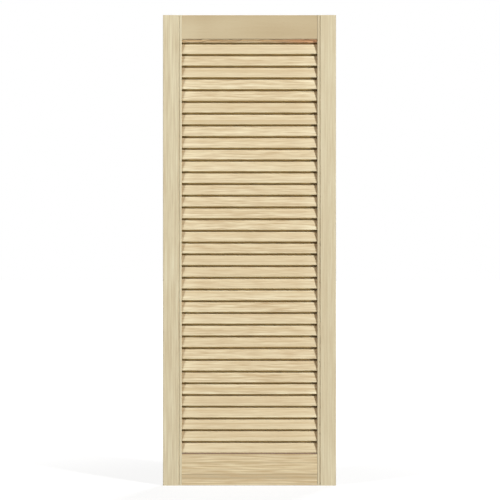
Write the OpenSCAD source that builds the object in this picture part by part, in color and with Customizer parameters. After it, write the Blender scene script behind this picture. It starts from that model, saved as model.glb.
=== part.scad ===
// Louvred pine door leaf: two beaded stiles, two set-back rails and a ladder of raking slats.
// Millimetres. X is the width, the front looks towards -Y, Z is up, and the origin is the
// middle of the bottom edge. Plan shapes are drawn in X and Y, slat shapes in Y and Z.

/* [Leaf] */
// Overall width of the leaf
leaf_w = 444; // [300:1:700]
// Overall height of the leaf
leaf_h = 1207; // [500:1:1700]
// Thickness of the leaf, measured over the stiles
leaf_t = 21; // [19:0.5:30]

/* [Stiles] */
// Width of a stile from its outer edge to its flat inner edge
stile_w = 48.2; // [42:0.1:90]
// Radius of the bead, the half-round along the inner arris of each face
bead_r = 3; // [2.8:0.1:4]
// Width of the quirk, the groove on the outer side of the bead
quirk_w = 2.4; // [1:0.1:4]
// Depth of the quirk below the face
quirk_depth = 2.2; // [1:0.1:2.6]
// Width of the eased flats along the outer arrises
stile_ease = 1; // [0.3:0.1:3]

/* [Rails] */
// Height of the top rail
top_rail_h = 61.5; // [50:0.5:120]
// Height of the bottom rail
bottom_rail_h = 81; // [55:0.5:200]
// How far each rail face lies behind the face of the stiles
rail_setback = 2; // [1:0.1:3]
// Width of the eased flats along the rail arrises
rail_ease = 0.7; // [0.3:0.1:2]

/* [Slats] */
// Thickness of a slat
slat_t = 5; // [4:0.25:6]
// Lean of the slats away from upright, front edge low
slat_rake = 15.5; // [14:0.5:25]
// How far the slat edges lie behind the faces of the stiles
slat_shy = 4.2; // [3.5:0.1:5]
// Overlap of neighbouring slats aimed at, seen from the front
slat_lap = 2.4; // [0:0.1:8]
// Air left under the lowest slat
foot_gap = 1.5; // [0.5:0.1:10]
// Depth of the slots that hold the slats, measured from the inner edge of a stile
slot_depth = 8; // [5:0.5:9]

/* [Closing strip] */
// Height of the upright strip that closes the space under the top rail
strip_h = 8.8; // [6:0.1:25]
// Air left between the strip and the top rail
strip_gap = 0.2; // [0.1:0.1:2]

/* [Dowels] */
// Diameter of the dowels that pin the rails to the stiles
dowel_d = 8; // [6:0.5:10]
// Length of a dowel
dowel_len = 50; // [30:1:70]
// Width of the bevel at each end of a dowel
dowel_bevel = 1; // [0.5:0.1:2]
// Distance of a dowel from the nearer edge of its rail
dowel_inset = 18; // [10:0.5:20]

/* [Fits] */
// Gap all round a slat in its slot
slat_fit = 0.15; // [0.05:0.05:0.4]
// Gap between the end of a slat and the bottom of its slot
slat_end_gap = 0.2; // [0.1:0.1:1]
// Gap all round a dowel in its bore
dowel_fit = 0.1; // [0.05:0.05:0.3]
// Room for glue past each end of a dowel
dowel_end_gap = 1; // [0.5:0.5:4]
// Gap between the end of a rail and the inner edge of a stile
rail_end_gap = 0.2; // [0.05:0.05:0.5]

/* [Hidden] */
// Drawn smoothness of round shapes
$fn = 96;

// Moulding: the bead ends at the inner edge, and the quirk lies on its outer side
bead_at = stile_w - bead_r;
quirk_at = bead_at - bead_r - quirk_w;

// One face of a stile: distance from the outer edge, and depth below the face
stile_face = [
    [0, stile_ease],
    [stile_ease, 0],
    [quirk_at, 0],
    [quirk_at, quirk_depth],
    [bead_at, quirk_depth],
    [bead_at, bead_r],
    [stile_w, bead_r]
];
stile_face_last = len(stile_face) - 1;

// Rails: thinner than the stiles, with square ends that butt against them
rail_t = leaf_t - 2 * rail_setback;
rail_len = leaf_w - 2 * (stile_w + rail_end_gap);
opening_h = leaf_h - top_rail_h - bottom_rail_h;

// Slats: wide enough to fill the depth that they may take at their rake
slat_depth = leaf_t - 2 * slat_shy;
slat_w = slat_t + (slat_depth - slat_t) / sin(slat_rake);
slat_rise = slat_t + (slat_w - slat_t) * cos(slat_rake);
slat_len = leaf_w - 2 * (stile_w - slot_depth + slat_end_gap);

// Ladder: the slats share evenly what the closing strip leaves of the opening
ladder_h = opening_h - foot_gap - strip_h - strip_gap;
slat_count = round(ladder_h / (slat_rise - slat_lap));
slat_pitch = ladder_h / slat_count;
ladder_foot = bottom_rail_h + foot_gap;

// Lower nose of a slat, the centre of its rounded front edge
nose_y = (slat_t - slat_depth) / 2;
nose_z = slat_t / 2;

// Closing strip: as thick as a slat and in line with the noses, with a rounded lower edge
strip_foot = leaf_h - top_rail_h - strip_gap - strip_h;

// Dowels: half in the stile and half in the rail
dowel_bore_d = dowel_d + 2 * dowel_fit;
dowel_bore_len = dowel_len + 2 * dowel_end_gap;
dowel_x = leaf_w / 2 - stile_w;
dowel_levels = [
    dowel_inset,
    bottom_rail_h - dowel_inset,
    leaf_h - top_rail_h + dowel_inset,
    leaf_h - dowel_inset
];

// Two-figure name of a slat, counted from the bottom
function slat_name(i) = str("slat_", i < 10 ? "0" : "", i);

// Plan of the left stile, moulded on both faces, outer edge at X 0
module stile_plan() {
    polygon(concat(
        [for (p = stile_face) [p[0], p[1] - leaf_t / 2]],
        [for (i = [stile_face_last : -1 : 0]) [stile_face[i][0], leaf_t / 2 - stile_face[i][1]]]
    ));
    for (face = [-1, 1])
        translate([bead_at, face * (leaf_t / 2 - bead_r)])
            circle(bead_r);
}

// Round-edged slat shape in Y and Z, leaning back from its lower nose
module slat_shape(foot_z, grow = 0) {
    reach = slat_w - slat_t;
    translate([nose_y, foot_z + nose_z])
        rotate(-slat_rake) {
            translate([-slat_t / 2 - grow, 0])
                square([slat_t + 2 * grow, reach]);
            circle(slat_t / 2 + grow);
            translate([0, reach])
                circle(slat_t / 2 + grow);
        }
}

// Upright closing strip in Y and Z, square at the top
module strip_shape(grow = 0) {
    translate([nose_y, strip_foot + nose_z]) {
        circle(slat_t / 2 + grow);
        translate([-slat_t / 2 - grow, 0])
            square([slat_t + 2 * grow, strip_h - nose_z + grow]);
    }
}

// Shape drawn in Y and Z, drawn out along X to both sides of the middle
module along_width(length) {
    rotate([90, 0, 90])
        linear_extrude(length, center = true)
            children();
}

// Foot of slat i above the floor, counted from the bottom
function slat_foot(i) = ladder_foot + (i - 1) * slat_pitch;

// Every slot for the slats and the strip, cut into both stiles at once
module slat_slots() {
    slot_span = slat_len + 2 * slat_end_gap;
    along_width(slot_span) {
        for (i = [1 : slat_count])
            slat_shape(slat_foot(i), slat_fit);
        strip_shape(slat_fit);
    }
}

// Cylinder along X centred on each dowel place of one side
module dowel_places(side) {
    for (level = dowel_levels)
        translate([side * dowel_x, 0, level])
            rotate([0, 90, 0])
                children();
}

// Bores for the dowels of one side, cut into a stile and both rails
module dowel_bores(side) {
    dowel_places(side)
        cylinder(h = dowel_bore_len, d = dowel_bore_d, center = true);
}

// Left stile: moulded along its full height, slotted for the slats and bored for the dowels
module left_stile() {
    color([0.84, 0.77, 0.62])
        difference() {
            translate([-leaf_w / 2, 0, 0])
                linear_extrude(leaf_h)
                    stile_plan();
            slat_slots();
            dowel_bores(-1);
        }
}

// Right stile: the left one seen in a mirror
module right_stile() {
    color([0.84, 0.77, 0.62])
        mirror([1, 0, 0])
            left_stile();
}

// Cross-section of a rail in Y and Z with its four long arrises eased
module rail_section(height) {
    polygon([
        [rail_ease - rail_t / 2, 0],
        [rail_t / 2 - rail_ease, 0],
        [rail_t / 2, rail_ease],
        [rail_t / 2, height - rail_ease],
        [rail_t / 2 - rail_ease, height],
        [rail_ease - rail_t / 2, height],
        [-rail_t / 2, height - rail_ease],
        [-rail_t / 2, rail_ease]
    ]);
}

// A rail with its foot at the given height, bored at both ends
module rail(foot_z, height) {
    difference() {
        translate([0, 0, foot_z])
            along_width(rail_len)
                rail_section(height);
        for (side = [-1, 1])
            dowel_bores(side);
    }
}

// Top rail, flush with the upper ends of the stiles
module top_rail() {
    color([0.80, 0.71, 0.56])
        rail(leaf_h - top_rail_h, top_rail_h);
}

// Bottom rail, flush with the lower ends of the stiles
module bottom_rail() {
    color([0.80, 0.71, 0.56])
        rail(0, bottom_rail_h);
}

// Full slat i, counted from the bottom
module slat(i) {
    color([0.88, 0.81, 0.66])
        along_width(slat_len)
            slat_shape(slat_foot(i));
}

// Strip that closes the space under the top rail
module closing_strip() {
    color([0.74, 0.64, 0.49])
        along_width(slat_len)
            strip_shape();
}

// One dowel along Z about its middle, with a bevel at each end
module dowel() {
    rotate_extrude()
        polygon([
            [0, -dowel_len / 2],
            [dowel_d / 2 - dowel_bevel, -dowel_len / 2],
            [dowel_d / 2, dowel_bevel - dowel_len / 2],
            [dowel_d / 2, dowel_len / 2 - dowel_bevel],
            [dowel_d / 2 - dowel_bevel, dowel_len / 2],
            [0, dowel_len / 2]
        ]);
}

// All the dowels, two to each corner of the frame
module rail_dowels() {
    color([0.76, 0.60, 0.42])
        for (side = [-1, 1])
            dowel_places(side)
                dowel();
}

left_stile();
right_stile();
top_rail();
bottom_rail();
for (i = [1 : slat_count])
    slat(i);
closing_strip();
rail_dowels();
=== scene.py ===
# %% [markdown]
# # A louvred pine door
# This lesson dresses a bare pine cupboard door: two moulded stiles, two rails let in between
# them, and a ladder of raking slats. The solids come ready made and to size, so the work here
# is the wood itself, the slats' fine shape, the light and the camera.
# We begin by loading the solids. They are the frame that every later piece has to fit.

# %% Load the door's solids
import math

import bpy
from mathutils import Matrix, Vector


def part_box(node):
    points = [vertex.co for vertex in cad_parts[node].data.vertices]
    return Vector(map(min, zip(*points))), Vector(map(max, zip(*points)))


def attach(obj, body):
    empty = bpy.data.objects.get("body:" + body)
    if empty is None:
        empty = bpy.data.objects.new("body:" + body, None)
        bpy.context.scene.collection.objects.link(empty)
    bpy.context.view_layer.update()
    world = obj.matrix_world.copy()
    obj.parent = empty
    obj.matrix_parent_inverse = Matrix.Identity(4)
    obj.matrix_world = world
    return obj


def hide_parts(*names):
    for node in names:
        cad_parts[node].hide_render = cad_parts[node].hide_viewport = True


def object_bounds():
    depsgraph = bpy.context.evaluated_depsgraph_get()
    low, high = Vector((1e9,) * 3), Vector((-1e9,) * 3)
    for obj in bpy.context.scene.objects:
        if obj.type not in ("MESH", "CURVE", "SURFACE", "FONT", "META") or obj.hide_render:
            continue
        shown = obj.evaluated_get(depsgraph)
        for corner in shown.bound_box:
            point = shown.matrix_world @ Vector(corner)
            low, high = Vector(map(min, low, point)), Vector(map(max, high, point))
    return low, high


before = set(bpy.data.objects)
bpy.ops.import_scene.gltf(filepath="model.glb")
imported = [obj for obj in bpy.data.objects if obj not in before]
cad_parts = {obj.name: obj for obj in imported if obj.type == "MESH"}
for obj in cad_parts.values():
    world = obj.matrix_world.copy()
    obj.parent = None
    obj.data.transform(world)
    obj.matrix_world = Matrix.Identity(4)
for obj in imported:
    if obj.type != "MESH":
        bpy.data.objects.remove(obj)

solid_low, solid_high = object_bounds()
door_middle = (solid_low + solid_high) / 2

# %% [markdown]
# ## Reading sizes off the solids
# A slat leans back, so its box tells how far it reaches in depth and in height. Take the
# thickness off both and what is left are the two legs of a right triangle: their ratio is the
# lean, and their length is the flat part of the slat between its two round noses. Measuring
# like this keeps the script right if the door is ever made in another size.

# %% Measure the slats
SLAT_THICKNESS = 0.005
slat_names = sorted(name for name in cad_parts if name.startswith("slat_"))


def slat_sizes(node):
    low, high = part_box(node)
    reach = high.y - low.y - SLAT_THICKNESS
    rise = high.z - low.z - SLAT_THICKNESS
    return {
        "length": high.x - low.x,
        "flat": math.hypot(reach, rise),
        "lean": math.atan2(reach, rise),
        "middle": (low + high) / 2,
    }


first_slat = slat_sizes(slat_names[0])
last_slat = slat_sizes(slat_names[-1])
slat_pitch = (last_slat["middle"].z - first_slat["middle"].z) / (len(slat_names) - 1)
print(len(slat_names), "slats,", round(math.degrees(first_slat["lean"]), 2), "degrees of lean,",
      round(slat_pitch * 1000, 3), "mm apart")

# %% [markdown]
# ## Writing shader sums as sums
# A wood finish is mostly arithmetic: distances from the heart of the tree, ring numbers, masks.
# Wiring that by hand takes dozens of Math nodes and nobody can read it afterwards. A small class
# that wraps a socket and answers to plus, minus, times and divide lets us write the sum in
# Python while Blender still gets ordinary nodes.

# %% A socket that can be added and multiplied
NOISE_MIDDLE = 0.5


class Wire:
    def __init__(self, finish, socket):
        self.finish = finish
        self.socket = socket

    def maths(self, operation, first, second=None):
        sockets = {0: first} if second is None else {0: first, 1: second}
        return self.finish.node("ShaderNodeMath", {"operation": operation}, sockets)

    def __add__(self, other):
        return self.maths("ADD", self, other)

    def __radd__(self, other):
        return self.maths("ADD", other, self)

    def __sub__(self, other):
        return self.maths("SUBTRACT", self, other)

    def __rsub__(self, other):
        return self.maths("SUBTRACT", other, self)

    def __mul__(self, other):
        return self.maths("MULTIPLY", self, other)

    def __rmul__(self, other):
        return self.maths("MULTIPLY", other, self)

    def __truediv__(self, other):
        return self.maths("DIVIDE", self, other)

    def __rtruediv__(self, other):
        return self.maths("DIVIDE", other, self)

    def __pow__(self, other):
        return self.maths("POWER", self, other)

    def __neg__(self):
        return self.maths("SUBTRACT", 0.0, self)

    def __abs__(self):
        return self.maths("ABSOLUTE", self)

    def whole(self):
        return self.maths("FLOOR", self)

    def rest(self):
        return self.maths("FRACT", self)

    def larger(self, other):
        return self.maths("MAXIMUM", self, other)

    def centred(self):
        """Noise from 0 to 1, moved so that its middle is 0."""
        return self - NOISE_MIDDLE

    def between(self, low, high):
        """Smooth step: 0 below low, 1 above high."""
        settings = {"interpolation_type": "SMOOTHSTEP"}
        return self.finish.node("ShaderNodeMapRange", settings, {0: self, 1: low, 2: high})


# %% [markdown]
# A finish is a material, or the world behind the door, with its node tree. One method adds any
# node there is: its type first, then the settings that change which sockets it has, then a value
# or a link for each socket. The short methods after it fetch what nearly every finish asks for:
# where a point is, which way the surface faces, and what the mesh has stored.

# %% A node tree to add to
WARM_POWERS = (0.72, 1.0, 1.30)


class Finish:
    def __init__(self, owner):
        self.owner = owner
        self.owner.use_nodes = True
        self.tree = self.owner.node_tree
        self.tree.nodes.clear()

    def node(self, kind, settings=None, sockets=None, out=0):
        made = self.tree.nodes.new(kind)
        for key, value in (settings or {}).items():
            if key == "stops":
                self.set_stops(made.color_ramp, value)
            else:
                setattr(made, key, value)
        for key, value in (sockets or {}).items():
            self.join(made.inputs[key], value)
        return Wire(self, made.outputs[out]) if made.outputs else None

    def join(self, socket, value):
        if isinstance(value, Wire):
            self.tree.links.new(value.socket, socket)
        elif isinstance(value, tuple) and len(value) == 3 and socket.type == "RGBA":
            socket.default_value = (*value, 1.0)
        else:
            socket.default_value = value

    def set_stops(self, ramp, stops):
        for place, _ in stops[1:-1]:
            ramp.elements.new(place)
        for element, (_, grey) in zip(ramp.elements, stops):
            element.color = (grey, grey, grey, 1.0)

    def part(self, vector, axis):
        return self.node("ShaderNodeSeparateXYZ", {}, {0: vector}, out=axis)

    def place(self):
        """Where a point is in the door, in metres."""
        return self.node("ShaderNodeTexCoord", out="Object")

    def facing(self, axis):
        """How squarely the surface looks along an axis, from -1 to 1."""
        return self.part(self.node("ShaderNodeTexCoord", out="Normal"), axis)

    def stored(self, name):
        """A vector that the mesh carries under this name."""
        return self.node("ShaderNodeAttribute", {"attribute_name": name}, out="Vector")

    def blend(self, share, first, second, how="MIX"):
        settings = {"data_type": "RGBA", "blend_type": how}
        return self.node("ShaderNodeMix", settings, {0: share, 6: first, 7: second}, out=2)

    def shaded(self, colour, amount):
        """Colour times amount, where wood that gets darker also gets warmer."""
        powers = {i: amount ** power for i, power in enumerate(WARM_POWERS)}
        tint = self.node("ShaderNodeCombineXYZ", {}, powers)
        settings = {"operation": "MULTIPLY"}
        return self.node("ShaderNodeVectorMath", settings, {0: colour, 1: tint})


print("node tools ready:", Wire.__name__, Finish.__name__)

# %% [markdown]
# ## Colours as we see them
# We pick wood colours as they look on a screen, while Blender counts light. The curve between the
# two is the standard screen curve, so one small function turns the eight-bit numbers that a colour
# picker shows into the numbers that a shader wants.

# %% Screen colours to light
SCREEN_TOP = 255
SCREEN_KNEE = 0.04045
SCREEN_SLOPE = 12.92
SCREEN_LIFT = 0.055
SCREEN_POWER = 2.4


def screen(red, green, blue):
    def light(level):
        level = level / SCREEN_TOP
        if level <= SCREEN_KNEE:
            return level / SCREEN_SLOPE
        return ((level + SCREEN_LIFT) / (1 + SCREEN_LIFT)) ** SCREEN_POWER
    return (light(red), light(green), light(blue))


print("mid grey in light:", [round(c, 3) for c in screen(128, 128, 128)])

# %% [markdown]
# ## Pine, cut from a tree
# Pine shows pale spring wood with darker summer lines. Painting stripes on a face looks wrong at
# every edge, because real lines run through the board and come out on all its sides. So we
# rebuild the tree: each point of the board has a distance from the heart, the distance divided by
# the ring width is a ring number, and the fraction left over says how far through the year it is.
# Where the board sits in the tree decides if its lines are straight, curved or pointed.
#
# A board is described by three distances: along the grain, across its face and through it.

# %% Where a point lies in its board
def board_axes(finish, grain, place):
    """Along, across and through, for a board whose grain runs along X or Z."""
    split = {axis: finish.part(place, axis) for axis in "XYZ"}
    across = "Z" if grain == "X" else "X"
    return split[grain], split[across], split["Y"]


def board_vector(finish, along, across, through):
    return finish.node("ShaderNodeCombineXYZ", {}, {0: along, 1: across, 2: through})


def noise(finish, axes, along_scale, across_scale, detail=2.0, rough=0.5):
    """Noise drawn out along the grain, from 0 to 1 with its middle at a half."""
    along, across, through = axes
    stretched = board_vector(
        finish, along * along_scale, across * across_scale, through * across_scale)
    sockets = {"Vector": stretched, "Scale": 1.0, "Detail": detail, "Roughness": rough}
    return finish.node("ShaderNodeTexNoise", {"noise_dimensions": "3D"}, sockets)


print("board axes ready")

# %% [markdown]
# The tree never grew as a perfect cylinder, so a slow noise pushes the heart about along the
# board, and a finer one roughens the lines. The year then runs from pale to dark: slowly at
# first, then fast, and it drops back at once where winter stopped the growth. Wet and dry spells
# make groups of rings wider or narrower, and every ring draws its own strength.

# %% Growth rings
SLOW_DRIFT_ALONG = 1.3
SLOW_DRIFT_ACROSS = 5.0
FINE_DRIFT_ALONG = 9.0
FINE_DRIFT_ACROSS = 45.0
DEPTH_DRIFT_SHARE = 0.6
SPELL_SCALE = 130.0
SPELL_SHIFT = 2.4
FAINTEST_RING = 0.25
YEAR_STOPS = [(0.0, 0.10), (0.40, 0.0), (0.72, 0.30), (0.90, 1.0), (0.96, 0.92), (1.0, 0.10)]


def growth_rings(finish, axes, heart, ring_width, drift, fine_drift):
    """Darkness of the year's wood, from 0 to 1."""
    _, across, through = axes
    slow = noise(finish, axes, SLOW_DRIFT_ALONG, SLOW_DRIFT_ACROSS, detail=1.0)
    fine = noise(finish, axes, FINE_DRIFT_ALONG, FINE_DRIFT_ACROSS, detail=2.0)
    sway = slow.centred() * drift + fine.centred() * fine_drift
    side = across - heart[0] + sway
    depth = through - heart[1] + sway * DEPTH_DRIFT_SHARE
    radius = (side * side + depth * depth) ** 0.5
    by_number = {"noise_dimensions": "1D"}
    spell = finish.node("ShaderNodeTexNoise", by_number, {
        "W": radius * SPELL_SCALE, "Scale": 1.0, "Detail": 1.0})
    ring = radius / ring_width + spell.centred() * SPELL_SHIFT
    year = finish.node("ShaderNodeValToRGB", {"stops": YEAR_STOPS}, {0: ring.rest()})
    strength = finish.node("ShaderNodeTexWhiteNoise", by_number, {"W": ring.whole()})
    return year * (FAINTEST_RING + strength * (1.0 - FAINTEST_RING))


print("ring stops through the year:", YEAR_STOPS)

# %% [markdown]
# Close up, planed pine is also covered in fibres: hair-thin streaks a few centimetres long, and
# short dark resin canals scattered among them. At arm's length they melt into a soft, slightly
# silky tone, with wider streaks and, over the whole board, faint clouds. Four more noises,
# stretched along the grain, give all of it.

# %% Fibres, streaks, clouds and resin canals
FIBRE_ALONG = 26.0
FIBRE_ACROSS = 1500.0
STREAK_ACROSS = 260.0
CLOUD_ALONG = 2.2
CLOUD_ACROSS = 9.0
RESIN_ALONG = 75.0
RESIN_ACROSS = 2100.0
RESIN_FROM = (0.70, 0.80)


def fibres(finish, axes):
    return noise(finish, axes, FIBRE_ALONG, FIBRE_ACROSS, detail=3.0, rough=0.6)


def streaks(finish, axes, per_metre):
    return noise(finish, axes, per_metre, STREAK_ACROSS, detail=2.0, rough=0.5)


def clouds(finish, axes):
    return noise(finish, axes, CLOUD_ALONG, CLOUD_ACROSS, detail=1.0)


def resin_canals(finish, axes):
    return noise(finish, axes, RESIN_ALONG, RESIN_ACROSS, detail=0.0).between(*RESIN_FROM)


print("fibre width about", round(1000 / FIBRE_ACROSS, 2), "mm")

# %% [markdown]
# ## One recipe, many boards
# Stiles, rails and slats are cut from different boards, so they share the recipe but not the
# numbers: each gets its own place in the tree, its own pale and dark colour and its own
# contrast. End grain drinks more light, so faces that look along the grain go darker. The
# relief is tiny: summer wood stands a few hundredths of a millimetre proud after sanding.
# Bare wood has almost no shine, so the mirror part of the shader is kept very low.

# %% The pine recipe
LINE_BREAKS = (0.15, 0.85)
LINE_GAIN = 1.5
FIBRE_TONE = 0.10
RESIN_TONE = 0.13
END_GRAIN_FROM = (0.70, 0.95)
END_GRAIN_SHADE = 0.80
SPRING_ROUGHNESS = 0.66
SUMMER_ROUGHNESS = 0.50
FIBRE_ROUGHNESS = 0.12
YEAR_RELIEF = 0.55
FIBRE_RELIEF = 0.45
RESIN_RELIEF = 0.5
RELIEF_STRENGTH = 0.55
RELIEF_DEPTH = 0.00006
WOOD_IOR = 1.45
WOOD_SHINE = 0.10


def for_board(value, finish):
    """A number that holds for the whole piece, or what a function makes of it in the shader."""
    return value(finish) if callable(value) else value


def pine(name, grain, pale, dark, heart, ring_width=0.0032, drift=0.010, fine_drift=0.0012,
         contrast=0.6, streaky=0.40, streaks_per_metre=18.0, cloudy=0.16,
         place=Finish.place, tone=None, tint_and_painted_shade=None):
    """Bare planed pine. place, tone and the tint are functions of the finish, for special boards;
    on some boards tone and tint carry painted light and painted shade.
    """
    finish = Finish(bpy.data.materials.new(name))
    axes = board_axes(finish, grain, place(finish))
    year = growth_rings(finish, axes, for_board(heart, finish), ring_width, drift, fine_drift)
    fibre = fibres(finish, axes)
    streak = streaks(finish, axes, streaks_per_metre)
    resin = resin_canals(finish, axes)

    broken = streak.between(*LINE_BREAKS) * LINE_GAIN
    colour = finish.blend(year * broken * contrast, pale, dark)
    brightness = 1.0 + fibre.centred() * FIBRE_TONE - resin * RESIN_TONE
    brightness = brightness + streak.centred() * for_board(streaky, finish)
    brightness = brightness + clouds(finish, axes).centred() * cloudy
    # On some boards the tone also carries painted light and painted shade.
    if tone:
        brightness = brightness * tone(finish)
    end_grain = abs(finish.facing(grain)).between(*END_GRAIN_FROM)
    brightness = brightness * (1.0 - end_grain * (1.0 - END_GRAIN_SHADE))
    colour = finish.shaded(colour, brightness)
    # The tint multiplies the colour: heartwood on the closing strip, painted shade in the slats'
    # gaps.
    if tint_and_painted_shade:
        share, tint = tint_and_painted_shade(finish, axes)
        colour = finish.blend(share, colour, tint, how="MULTIPLY")

    roughness = SPRING_ROUGHNESS - year * (SPRING_ROUGHNESS - SUMMER_ROUGHNESS)
    roughness = roughness + fibre.centred() * FIBRE_ROUGHNESS
    height = year * YEAR_RELIEF + fibre * FIBRE_RELIEF - resin * RESIN_RELIEF
    relief = finish.node("ShaderNodeBump", {}, {
        "Strength": RELIEF_STRENGTH, "Distance": RELIEF_DEPTH, "Height": height})
    shader = finish.node("ShaderNodeBsdfPrincipled", {}, {
        "Base Color": colour, "Roughness": roughness, "Normal": relief, "IOR": WOOD_IOR,
        "Specular IOR Level": WOOD_SHINE})
    finish.node("ShaderNodeOutputMaterial", {}, {"Surface": shader})
    return finish.owner


print("end grain shade:", END_GRAIN_SHADE)

# %% [markdown]
# ## The stiles
# The stiles are the two uprights. Their grain runs with their length, and along the inner edge a
# cutter has left a quirk, which is a narrow groove, and beside it a half-round bead. That shape
# is right in the solids already, so the nodes stay and only get their wood. The heart of the
# tree lies well outside the board, so the lines come out long and almost straight.
#
# The inner edge is where the slots are cut. We darken that edge with painted shade. It hardly
# shows from the front, but being dark it throws less light on the slats' ends, and that deepens
# the small shadows in the corners. Along the left stile's moulding we paint the wood paler, a
# painted light that lifts the shaded line of its quirk.

# %% Wood for the stiles
STILE_PALE = screen(220, 207, 174)
STILE_DARK = screen(201, 180, 142)
FLAT_EDGE_ONLY = (0.93, 0.99)
# Painted shade on the stiles' inner edges, which deepens the shadows on the slats' ends.
EDGE_PAINTED_SHADE = 0.45
# Painted light: the left stile's moulding is painted 14 percent paler, which lifts the shaded line
# of its quirk.
MOULDING_PAINTED_LIGHT_REACH = (0.0080, 0.0095)
opening_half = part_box("right_stile")[0].x
stile_boards = {
    "left_stile": {"heart": (-0.31, 0.045), "streaky": 0.70, "inner": 1.0, "moulding_painted_light": 1.14},
    "right_stile": {"heart": (0.335, -0.06), "streaky": 0.50, "inner": -1.0, "moulding_painted_light": 1.0},
}


def painted_edge_shade(axis, way, facing_range=FLAT_EDGE_ONLY, shade=EDGE_PAINTED_SHADE):
    """Painted shade that darkens the faces looking along an axis, way being 1 or -1."""
    def tone(finish):
        facing = finish.facing(axis) * way
        return 1.0 - facing.between(*facing_range) * (1.0 - shade)
    return tone


def stile_painted_shade_and_light(board):
    """Tone of a stile: painted shade on its inner edge and, beside it, painted light along the
    moulding.
    """
    edge_painted_shade = painted_edge_shade("X", board["inner"])

    def tone(finish):
        from_edge = abs(finish.part(finish.place(), "X")) - opening_half
        moulding_painted_light = 1.0 - from_edge.between(*MOULDING_PAINTED_LIGHT_REACH)
        return edge_painted_shade(finish) * (1.0 + moulding_painted_light * (board["moulding_painted_light"] - 1.0))
    return tone


def dress(node, wood):
    """Gives a solid its wood and leaves its shape alone."""
    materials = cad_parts[node].data.materials
    materials.clear()
    materials.append(wood)
    print(node, "finished with", wood.name)


for node, board in stile_boards.items():
    dress(node, pine(
        "pine " + node.replace("_", " "), "Z", STILE_PALE, STILE_DARK, board["heart"],
        ring_width=0.0058, contrast=0.80, streaky=board["streaky"], streaks_per_metre=11.0,
        cloudy=0.22, tone=stile_painted_shade_and_light(board)))

# %% [markdown]
# ## The rails
# The rails tie the stiles together. Their grain runs across the door, their faces lie a little
# behind the stiles, and they come from browner boards. The top rail is plain and even, so its
# heart is far away and its contrast low; it only gets a little paler towards its lower edge and
# its left end. The bottom rail shows clear straight lines. Its upper edge, with the eased arris in
# front, lies under the lowest slat, and we give it painted shade, darker than on the stiles' inner
# edges, so that a dark line shows there.

# %% Wood for the rails
TOP_RAIL_PALE = screen(201, 182, 146)
TOP_RAIL_DARK = screen(182, 157, 118)
BOTTOM_RAIL_PALE = screen(223, 203, 164)
BOTTOM_RAIL_DARK = screen(112, 80, 46)
LOWER_EDGE_LIFT = 0.20
LEFT_END_LIFT = 0.24
LEFT_END_REACH = (0.0688, -0.0012)
EDGE_AND_ARRIS = (0.50, 0.70)
RAIL_EDGE_PAINTED_SHADE = 0.25


def way_up(finish, node):
    """Height of a point as a share of a node's height, 0 at its foot and 1 at its top."""
    low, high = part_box(node)
    return (finish.part(finish.place(), "Z") - low.z) / (high.z - low.z)


def near_stile(sideways, reach):
    """Share that grows towards a stile, between two distances from its inner edge."""
    far, near = reach
    return sideways.between(opening_half - far, opening_half - near)


def paler_low_left(finish):
    """Tone of a board that is paler towards its lower edge and its left end."""
    to_the_left = -finish.part(finish.place(), "X")
    edge = 1.0 + (0.5 - way_up(finish, "top_rail")) * LOWER_EDGE_LIFT
    return edge * (1.0 + near_stile(to_the_left, LEFT_END_REACH) * LEFT_END_LIFT)


dress("top_rail", pine(
    "pine top rail", "X", TOP_RAIL_PALE, TOP_RAIL_DARK, (1.00, 0.35),
    ring_width=0.0060, contrast=0.10, streaky=0.06, cloudy=1.60, tone=paler_low_left))
# The bottom rail's upper edge and arris get painted shade.
dress("bottom_rail", pine(
    "pine bottom rail", "X", BOTTOM_RAIL_PALE, BOTTOM_RAIL_DARK, (-0.085, 0.050),
    ring_width=0.0078, drift=0.008, fine_drift=0.0019, contrast=0.46, streaky=1.10,
    streaks_per_metre=13.0, tone=painted_edge_shade("Z", 1.0, EDGE_AND_ARRIS, RAIL_EDGE_PAINTED_SHADE)))

# %% [markdown]
# ## The dowels
# Eight beech dowels pin the joints. They are buried in the wood and never show, but a piece with
# no finish is not finished, so they get a plain beech: pinkish, close-grained, with the short
# dark flecks that tell beech from pine.

# %% Beech for the dowels
BEECH_PALE = screen(205, 168, 128)
BEECH_FLECK = screen(160, 116, 78)
FLECK_ALONG = 190.0
FLECK_ACROSS = 1500.0
FLECK_FROM = (0.60, 0.72)
BEECH_GRAIN_ALONG = 20.0
BEECH_GRAIN_ACROSS = 700.0
BEECH_DARKEST = 0.92
BEECH_SPREAD = 0.16
BEECH_ROUGHNESS = 0.60
FLECK_ROUGHNESS = 0.50


def beech(name):
    finish = Finish(bpy.data.materials.new(name))
    axes = board_axes(finish, "X", finish.place())
    fleck = noise(finish, axes, FLECK_ALONG, FLECK_ACROSS, detail=0.0).between(*FLECK_FROM)
    grain_tone = noise(finish, axes, BEECH_GRAIN_ALONG, BEECH_GRAIN_ACROSS, detail=2.0)
    colour = finish.blend(fleck, BEECH_PALE, BEECH_FLECK)
    colour = finish.shaded(colour, BEECH_DARKEST + grain_tone * BEECH_SPREAD)
    roughness = BEECH_ROUGHNESS - fleck * (BEECH_ROUGHNESS - FLECK_ROUGHNESS)
    shader = finish.node("ShaderNodeBsdfPrincipled", {}, {
        "Base Color": colour, "Roughness": roughness})
    finish.node("ShaderNodeOutputMaterial", {}, {"Surface": shader})
    return finish.owner


dress("rail_dowels", beech("beech dowel"))

# %% [markdown]
# ## The slats
# Thirty-odd equal slats at an even spacing are a job for Geometry Nodes: draw one slat, repeat it
# up a line of points, and let every copy carry its own random numbers into the shader. Copying
# objects in Python would work too, but then each slat would need a material of its own to look
# different. Here two stored attributes do it. The first is each point's place in its own board,
# taken before the slat is tilted, so the grain follows the slat. The second is a random draw for
# each copy, which says where in the tree that slat was cut.

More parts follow.
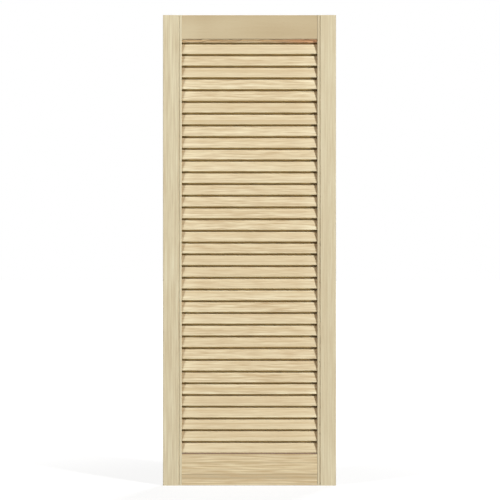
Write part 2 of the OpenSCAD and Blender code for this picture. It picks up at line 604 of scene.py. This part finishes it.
# %% A helper for node groups
class Ladder:
    """A Geometry Nodes tree with named inputs."""

    def __init__(self, name, inputs):
        self.tree = bpy.data.node_groups.new(name, "GeometryNodeTree")
        self.socket_of = {}
        for label, kind in inputs.items():
            item = self.tree.interface.new_socket(name=label, in_out="INPUT", socket_type=kind)
            self.socket_of[label] = item.identifier
        self.tree.interface.new_socket(
            name="Geometry", in_out="OUTPUT", socket_type="NodeSocketGeometry")
        self.inputs = self.tree.nodes.new("NodeGroupInput").outputs

    def node(self, kind, settings=None, sockets=None, out=0):
        made = self.tree.nodes.new(kind)
        for key, value in (settings or {}).items():
            setattr(made, key, value)
        for key, value in (sockets or {}).items():
            if isinstance(value, bpy.types.NodeSocket):
                self.tree.links.new(value, made.inputs[key])
            else:
                made.inputs[key].default_value = value
        return made.outputs[out]

    def maths(self, operation, first, second):
        return self.node("ShaderNodeMath", {"operation": operation}, {0: first, 1: second})

    def vector(self, x=0.0, y=0.0, z=0.0):
        return self.node("ShaderNodeCombineXYZ", {}, {0: x, 1: y, 2: z})


print("helper ready:", Ladder.__name__)

# %% [markdown]
# The slat itself is a profile pushed along a line. A rectangle with its corners filleted by
# almost half the thickness gives the two round noses; stopping just short of half keeps the
# fillets from meeting in a point, which would leave faces with no area.

# %% Draw one slat
NOSE_SHARE = 0.485
NOSE_STEPS = 7
LENGTH_STEPS = 25

slat_ladder = Ladder("ladder of slats", {
    "Length": "NodeSocketFloat",
    "Flat": "NodeSocketFloat",
    "Thickness": "NodeSocketFloat",
    "Lean": "NodeSocketFloat",
    "First Place": "NodeSocketVector",
    "Pitch": "NodeSocketFloat",
    "Count": "NodeSocketInt",
    "Seed": "NodeSocketInt",
    "Wood": "NodeSocketMaterial",
})


def one_slat(ladder):
    into = ladder.inputs
    width = ladder.maths("ADD", into["Flat"], into["Thickness"])
    outline = ladder.node("GeometryNodeCurvePrimitiveQuadrilateral", {}, {
        "Width": into["Thickness"], "Height": width})
    nose = ladder.maths("MULTIPLY", into["Thickness"], NOSE_SHARE)
    outline = ladder.node("GeometryNodeFilletCurve", {"mode": "POLY"}, {
        "Curve": outline, "Count": NOSE_STEPS, "Radius": nose})
    right = ladder.maths("MULTIPLY", into["Length"], 0.5)
    left = ladder.maths("MULTIPLY", into["Length"], -0.5)
    line = ladder.node("GeometryNodeCurvePrimitiveLine", {}, {
        "Start": ladder.vector(x=left), "End": ladder.vector(x=right)})
    line = ladder.node("GeometryNodeResampleCurve", {}, {"Curve": line, "Count": LENGTH_STEPS})
    return ladder.node("GeometryNodeCurveToMesh", {}, {
        "Curve": line, "Profile Curve": outline, "Fill Caps": True})


slat_shape = one_slat(slat_ladder)
print("one slat:", LENGTH_STEPS, "rings along its length")

# %% [markdown]
# Next the ladder: store the place in the board, stand a copy on every point of a line, give each
# copy its random draw, then realise the copies and set the wood. Realising matters, because an
# instance is only a promise of a mesh and is lost when the door is saved for other programs.

# %% Repeat it up the door
def repeat_slats(ladder, shape):
    into = ladder.inputs
    place = ladder.node("GeometryNodeInputPosition")
    shape = ladder.node(
        "GeometryNodeStoreNamedAttribute", {"data_type": "FLOAT_VECTOR", "domain": "POINT"},
        {"Geometry": shape, "Name": "board_place", "Value": place})
    points = ladder.node("GeometryNodeMeshLine", {"mode": "OFFSET", "count_mode": "TOTAL"}, {
        "Count": into["Count"], "Start Location": into["First Place"],
        "Offset": ladder.vector(z=into["Pitch"])})
    tilt = ladder.maths("MULTIPLY", into["Lean"], -1.0)
    copies = ladder.node("GeometryNodeInstanceOnPoints", {}, {
        "Points": points, "Instance": shape, "Rotation": ladder.vector(x=tilt)})
    draw = ladder.node("FunctionNodeRandomValue", {"data_type": "FLOAT_VECTOR"}, {
        "Min": (0.0, 0.0, 0.0), "Max": (1.0, 1.0, 1.0), "Seed": into["Seed"]})
    copies = ladder.node(
        "GeometryNodeStoreNamedAttribute", {"data_type": "FLOAT_VECTOR", "domain": "INSTANCE"},
        {"Geometry": copies, "Name": "board_draw", "Value": draw})
    whole = ladder.node("GeometryNodeRealizeInstances", {}, {"Geometry": copies})
    whole = ladder.node("GeometryNodeSetMaterial", {}, {
        "Geometry": whole, "Material": into["Wood"]})
    exit_node = ladder.tree.nodes.new("NodeGroupOutput")
    ladder.tree.links.new(whole, exit_node.inputs["Geometry"])


repeat_slats(slat_ladder, slat_shape)
print("tree:", slat_ladder.tree.name, "with", len(slat_ladder.tree.nodes), "nodes")

# %% [markdown]
# ## Wood for the slats
# The slat's finish reads the two attributes. The draw moves the heart of the tree to one side or
# the other, so some slats show straight lines and others long flames. It also slides the grain
# along, so that no two slats repeat, and makes some slats more streaky than others, as in a pack
# of slats taken from many boards.

# %% Read what each slat carries
HEART_SPREAD = 0.16
HEART_NEAR = 0.012
HEART_FAR = 0.075
GRAIN_SHIFT = 37.0
STREAKY_LEAST = 0.38
STREAKY_SPREAD = 0.88
STREAKY_SHUFFLE = 9.0


def slat_draw(finish, axis):
    return finish.part(finish.stored("board_draw"), axis)


def slat_place(finish):
    shift = board_vector(finish, slat_draw(finish, "Z") * GRAIN_SHIFT, 0.0, 0.0)
    sockets = {0: finish.stored("board_place"), 1: shift}
    return finish.node("ShaderNodeVectorMath", {"operation": "ADD"}, sockets)


def slat_heart(finish):
    side = slat_draw(finish, "X").centred() * HEART_SPREAD
    depth = HEART_NEAR + slat_draw(finish, "Y") * HEART_FAR
    return side, depth


def slat_streaky(finish):
    return STREAKY_LEAST + (slat_draw(finish, "Z") * STREAKY_SHUFFLE).rest() * STREAKY_SPREAD


def slat_along(finish):
    """Distance from the middle of the slat, to the right."""
    return finish.part(finish.stored("board_place"), "X")


def slat_up(finish):
    """-1 at the centre of the lower nose, 1 at the centre of the upper one."""
    return finish.part(finish.stored("board_place"), "Z") / (first_slat["flat"] / 2)


print("flat part of a slat:", round(first_slat["flat"] * 1000, 2), "mm")

# %% [markdown]
# A slat is not one even tone. Each differs a little from the next, and its noses and its ends get
# a painted highlight, paler colour that stands in for light. The corners beside the stiles are the
# other way round: on the real door they look dark, narrow at the lower nose and wide under the
# slat above. Lamps alone leave them too weak, so we put a painted shadow there, a darker triangle,
# a little darker on the right.

# %% Painted highlights and painted shadows
SLAT_TONE_SPREAD = 0.075
TONE_SHUFFLE = (7.0, 5.0)
NOSE_PAINTED_HIGHLIGHT = 0.09
NOSE_HIGHLIGHT_FROM = (0.10, 0.90)
END_PAINTED_HIGHLIGHT = 0.06
END_HIGHLIGHT_REACH = (0.0538, 0.0088)
# Painted shadow in the slats' corners beside the stiles.
CORNER_LOW = 0.0005
CORNER_HIGH = 0.0110
CORNER_SOFT = 0.003
LEFT_CORNER_PAINTED_SHADOW = 0.22
RIGHT_CORNER_PAINTED_SHADOW = 0.30
HALVES_MEET = 0.05


def right_half(finish):
    return slat_along(finish).between(-HALVES_MEET, HALVES_MEET)


def painted_corner_shadow(finish):
    """Painted shadow: a darker triangle at each end, narrow at the lower nose and wide at the top.
    """
    up = slat_up(finish) * 0.5 + 0.5
    width = CORNER_LOW + up * (CORNER_HIGH - CORNER_LOW)
    into = abs(slat_along(finish)) - opening_half + width
    shade = LEFT_CORNER_PAINTED_SHADOW + right_half(finish) * (RIGHT_CORNER_PAINTED_SHADOW - LEFT_CORNER_PAINTED_SHADOW)
    return into.between(-CORNER_SOFT / 2, CORNER_SOFT / 2) * shade


def slat_tone_with_painted_light(finish):
    shuffled = slat_draw(finish, "X") * TONE_SHUFFLE[0] + slat_draw(finish, "Y") * TONE_SHUFFLE[1]
    # Painted highlight on the noses and ends, painted shadow in the corners.
    nose = abs(slat_up(finish)).between(*NOSE_HIGHLIGHT_FROM)
    end = near_stile(abs(slat_along(finish)), END_HIGHLIGHT_REACH)
    tone = 1.0 + shuffled.rest().centred() * SLAT_TONE_SPREAD
    tone = tone + nose.centred() * NOSE_PAINTED_HIGHLIGHT + end * END_PAINTED_HIGHLIGHT
    return tone * (1.0 - painted_corner_shadow(finish))


print("dull corners up to", CORNER_HIGH * 1000, "mm wide")

# %% [markdown]
# The dark lines between the slats are shadow, but warm shadow. To warm it we paint shade on the
# front of each slat's upper edge, which the next slat covers, and on the underside of its lower
# nose: both get a browner painted shade, darker still close to the stiles. The mask looks at the
# place in the board and at the way the surface faces, so the backs of the slats stay clean.

# %% Slat finish
SLAT_PALE = screen(218, 201, 166)
SLAT_DARK = screen(191, 166, 123)
COVERED_FROM = (0.70, 0.86)
FRONT_FROM = (0.20, 0.70)
LOWER_NOSE_FROM = (0.90, 1.00)
UNDER_FROM = (0.10, 0.50)
# Painted shade in the gaps between the slats, browner and darker near the stiles.
GAP_PAINTED_SHADE_TINT = (0.91, 0.825, 0.58)
LEFT_END_PAINTED_SHADE = (0.66, 0.60, 0.42)
RIGHT_END_PAINTED_SHADE = (0.45, 0.40, 0.29)
END_PAINTED_SHADE_REACH = (0.0208, 0.0108)


def slat_painted_gap_shade(finish, axes):
    """Share and tint of the painted shade on the covered front edge and under the lower nose."""
    up = slat_up(finish)
    forward = -finish.facing("Y")
    downward = -finish.facing("Z")
    covered = up.between(*COVERED_FROM) * forward.between(*FRONT_FROM)
    under = (-up).between(*LOWER_NOSE_FROM) * downward.between(*UNDER_FROM)
    end = near_stile(abs(slat_along(finish)), END_PAINTED_SHADE_REACH)
    end_tint = finish.blend(right_half(finish), LEFT_END_PAINTED_SHADE, RIGHT_END_PAINTED_SHADE)
    return covered.larger(under), finish.blend(end, GAP_PAINTED_SHADE_TINT, end_tint)


slat_wood = pine(
    "pine slat", "X", SLAT_PALE, SLAT_DARK, slat_heart, ring_width=0.0056, contrast=0.74,
    streaky=slat_streaky, place=slat_place, tone=slat_tone_with_painted_light, tint_and_painted_shade=slat_painted_gap_shade)
print("slat finish:", slat_wood.name)

# %% [markdown]
# ## The closing strip
# Under the top rail a narrow upright strip closes the gap above the first slat. It was ripped from
# a darker, rougher board: its lines are strong and wavy, and towards the right it turns the warm
# reddish brown of heartwood. Along its middle it gets painted shade, a darker band, and its edges
# get painted light, paler colour that lifts the shade under the rail and under its own lower edge.
# Its solid is right as it is, so it only gets its wood.

# %% Wood for the closing strip
STRIP_PALE = screen(222, 194, 149)
STRIP_DARK = screen(104, 70, 40)
BLUSH_TINT = screen(251, 222, 215)
BLUSH_FROM = (0.02, 0.15)
BLUSH_PATCH_ALONG = 14.0
BLUSH_PATCH_ACROSS = 90.0
BLUSH_RAGGED = 0.08
# Painted shade along the strip's middle and painted light on its edges.
BAND_FOOT = (0.22, 0.44)
BAND_TOP = (0.68, 0.80)
BAND_PAINTED_SHADE = 0.58
STRIP_EDGE_PAINTED_LIGHT = 1.45


def heartwood(finish, axes):
    """Share and tint of the reddish wood, with a ragged border."""
    patch = noise(finish, axes, BLUSH_PATCH_ALONG, BLUSH_PATCH_ACROSS, detail=1.0)
    across_door = finish.part(finish.place(), "X") + patch.centred() * BLUSH_RAGGED
    return across_door.between(*BLUSH_FROM), BLUSH_TINT


def strip_painted_light_and_shade(finish):
    """Tone of the strip: painted shade along its middle, painted light on its edges."""
    up = way_up(finish, "closing_strip")
    band = up.between(*BAND_FOOT) * (1.0 - up.between(*BAND_TOP))
    return STRIP_EDGE_PAINTED_LIGHT - band * (STRIP_EDGE_PAINTED_LIGHT - BAND_PAINTED_SHADE)


dress("closing_strip", pine(
    "pine closing strip", "X", STRIP_PALE, STRIP_DARK, (1.175, 0.020), ring_width=0.0060,
    drift=0.020, fine_drift=0.026, contrast=1.0, streaky=0.90, streaks_per_metre=24.0,
    tone=strip_painted_light_and_shade, tint_and_painted_shade=heartwood))

# %% [markdown]
# ## Making the slats real
# A modifier's inputs are set by the socket's own identifier. Once they are in, the evaluated
# result is copied into a plain mesh and the modifier goes, so that what we hand on is ordinary
# geometry. Round noses want smooth shading and the sawn ends want flat, so edges sharper than a
# chosen angle are marked sharp.

# %% Turn the node tree into a mesh
SHARP_ANGLE = math.radians(40)
SLAT_SEED = 11


def make_slats(name, sizes, count, wood):
    holder = bpy.data.objects.new(name, bpy.data.meshes.new(name))
    bpy.context.scene.collection.objects.link(holder)
    ladder = holder.modifiers.new("ladder", "NODES")
    ladder.node_group = slat_ladder.tree
    settings = {
        "Length": sizes["length"], "Flat": sizes["flat"], "Thickness": SLAT_THICKNESS,
        "Lean": sizes["lean"], "First Place": tuple(sizes["middle"]), "Pitch": slat_pitch,
        "Count": count, "Seed": SLAT_SEED, "Wood": wood,
    }
    for label, value in settings.items():
        ladder[slat_ladder.socket_of[label]] = value
    graph = bpy.context.evaluated_depsgraph_get()
    mesh = bpy.data.meshes.new_from_object(
        holder.evaluated_get(graph), preserve_all_data_layers=True, depsgraph=graph)
    holder.modifiers.clear()
    holder.data = mesh
    mesh.name = name
    mesh.polygons.foreach_set("use_smooth", [True] * len(mesh.polygons))
    mesh.set_sharp_from_angle(angle=SHARP_ANGLE)
    print(name, "faces:", len(mesh.polygons), "attributes:", sorted(mesh.attributes.keys()))
    return holder


slats = make_slats("louvre_slats", first_slat, len(slat_names), slat_wood)

# %% [markdown]
# The new slats stand for the slats' solids and belong to the one rigid body of the door. We
# compare their boxes, because a slat that came out turned the wrong way would still look
# plausible from the front.

# %% Put the slats in the door
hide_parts(*slat_names)
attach(slats, "root")
points = [vertex.co for vertex in slats.data.vertices]
made_box = [pick(point[i] for point in points) for pick in (min, max) for i in range(3)]
wanted_box = [*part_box(slat_names[0])[0], *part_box(slat_names[-1])[1]]
gaps = [abs(made - wanted) for made, wanted in zip(made_box, wanted_box)]
print(slats.name, "differs from its solids by at most", round(max(gaps) * 1000, 3), "mm")

# %% [markdown]
# ## The stage
# The door stands on a plain white floor before a white background. To the camera, the floor is
# its own soft light plus what falls on it, so it reads as white and still takes a shadow. Far from
# the door the lamps fade, so there its own light rises until floor and background are one. For
# the light that reaches the wood by way of the floor, it is just a dull grey floor that throws a
# little back up.

# %% Floor
FLOOR_HALF = 30.0
FLOOR_PALE = (0.25, 0.25, 0.25)
FLOOR_SHADOW_SHARE = (0.22, 0.22, 0.22)
FLOOR_OWN_LIGHT = 0.78
FLOOR_FADE = (0.25, 1.5)


def seen_directly(finish):
    """1 for the camera and for what a mirror or a glass would show it, 0 for all other light."""
    camera_ray = finish.node("ShaderNodeLightPath", out="Is Camera Ray")
    mirror_ray = finish.node("ShaderNodeLightPath", out="Is Glossy Ray")
    glass_ray = finish.node("ShaderNodeLightPath", out="Is Transmission Ray")
    return camera_ray.larger(mirror_ray).larger(glass_ray)


def floor_finish():
    finish = Finish(bpy.data.materials.new("white floor"))
    lit = finish.node("ShaderNodeBsdfDiffuse", {}, {"Color": FLOOR_PALE})
    shade = finish.node("ShaderNodeBsdfDiffuse", {}, {"Color": FLOOR_SHADOW_SHARE})
    settings = {"operation": "LENGTH"}
    away = finish.node("ShaderNodeVectorMath", settings, {0: finish.place()}, out="Value")
    level = FLOOR_OWN_LIGHT + away.between(*FLOOR_FADE) * (1.0 - FLOOR_OWN_LIGHT)
    white_level = finish.node("ShaderNodeCombineXYZ", {}, {0: level, 1: level, 2: level})
    glow = finish.node("ShaderNodeEmission", {}, {"Color": white_level})
    white = finish.node("ShaderNodeAddShader", {}, {0: shade, 1: glow})
    both = finish.node("ShaderNodeMixShader", {}, {0: seen_directly(finish), 1: lit, 2: white})
    finish.node("ShaderNodeOutputMaterial", {}, {"Surface": both})
    return finish.owner


floor_mesh = bpy.data.meshes.new("floor")
corners = [(-FLOOR_HALF, -FLOOR_HALF, 0), (FLOOR_HALF, -FLOOR_HALF, 0),
           (FLOOR_HALF, FLOOR_HALF, 0), (-FLOOR_HALF, FLOOR_HALF, 0)]
floor_mesh.from_pydata(corners, [], [(0, 1, 2, 3)])
floor = bpy.data.objects.new("floor", floor_mesh)
bpy.context.scene.collection.objects.link(floor)
floor_mesh.materials.append(floor_finish())
print("floor side in metres:", 2 * FLOOR_HALF)

# %% [markdown]
# ## Light
# A big soft lamp high on the right shapes the mouldings: it leaves the right stile's inner edge
# in shade and lets it throw a small shadow over the slats' right ends. A wide weak lamp from the
# left opens the shadows. A third lamp lights the back of the door for whoever walks round it;
# the slats lean so that hardly any of it comes through to the front.

# %% Lamps
LAMP_AWAY = 24.0
LAMP_RISE = math.radians(32)
KEY_TURN = math.radians(43)
KEY_SIZE = 2.6
KEY_WATTS = 5150.0
FILL_TURN = math.radians(-50)
FILL_SIZE = 3.0
FILL_WATTS = 2700.0
BACK_TURN = math.radians(158)
BACK_SIZE = 5.0
BACK_WATTS = 3600.0


def lamp_place(turn):
    """A place on a circle round the door, turned from straight ahead towards the right."""
    level = LAMP_AWAY * math.cos(LAMP_RISE)
    return (level * math.sin(turn), -level * math.cos(turn),
            door_middle.z + LAMP_AWAY * math.sin(LAMP_RISE))


def soft_lamp(name, turn, size, watts):
    lamp = bpy.data.lights.new(name, "AREA")
    lamp.shape = "SQUARE"
    lamp.size = size
    lamp.energy = watts
    holder = bpy.data.objects.new(name, lamp)
    holder.location = lamp_place(turn)
    aim = (door_middle - holder.location).to_track_quat("-Z", "Y")
    holder.rotation_euler = aim.to_euler()
    bpy.context.scene.collection.objects.link(holder)
    print(name, "at", [round(c, 2) for c in holder.location], watts, "W")


soft_lamp("key lamp", KEY_TURN, KEY_SIZE, KEY_WATTS)
soft_lamp("fill lamp", FILL_TURN, FILL_SIZE, FILL_WATTS)
soft_lamp("back lamp", BACK_TURN, BACK_SIZE, BACK_WATTS)

# %% [markdown]
# The background is white for every ray that looks at it, straight from the camera or by way of a
# mirror or a glass. For the light that falls on the wood it is only the faint warm light of a
# room, or the gaps between the slats would fill with white.

# %% Background
WHITE = (1.0, 1.0, 1.0)
SKY_LEVEL = 0.03
SKY_WARM = (1.0, 0.75, 0.38)

sky = Finish(bpy.data.worlds.new("white studio"))
room_light = tuple(SKY_LEVEL * level for level in SKY_WARM)
sky_colour = sky.blend(seen_directly(sky), room_light, WHITE)
background = sky.node("ShaderNodeBackground", {}, {"Color": sky_colour})
sky.node("ShaderNodeOutputWorld", {}, {"Surface": background})
bpy.context.scene.world = sky.owner
print("sky for the wood:", SKY_LEVEL, "times", SKY_WARM)

# %% [markdown]
# ## Camera
# The picture we match has no perspective to speak of, so the camera stands far away with a long
# lens, level with the middle of the door. The door's height in the picture sets the lens.

# %% Camera
PICTURE = 500.0
DOOR_IN_PICTURE = 470.6
DOOR_MIDDLE_IN_PICTURE = (249.5, 250.3)
CAMERA_AWAY = 4.5
SENSOR = 36.0

metres_per_pixel = (solid_high.z - solid_low.z) / DOOR_IN_PICTURE
camera_data = bpy.data.cameras.new("camera")
camera_data.sensor_width = SENSOR
camera_data.lens = SENSOR * CAMERA_AWAY / (PICTURE * metres_per_pixel)
camera = bpy.data.objects.new("camera", camera_data)
camera.location = (
    door_middle.x + (PICTURE / 2 - DOOR_MIDDLE_IN_PICTURE[0]) * metres_per_pixel,
    solid_low.y - CAMERA_AWAY,
    door_middle.z + (DOOR_MIDDLE_IN_PICTURE[1] - PICTURE / 2) * metres_per_pixel,
)
camera.rotation_euler = (math.pi / 2, 0.0, 0.0)
bpy.context.scene.collection.objects.link(camera)
bpy.context.scene.camera = camera
bpy.context.scene.view_settings.view_transform = "Standard"
print("lens in millimetres:", round(camera_data.lens, 1))
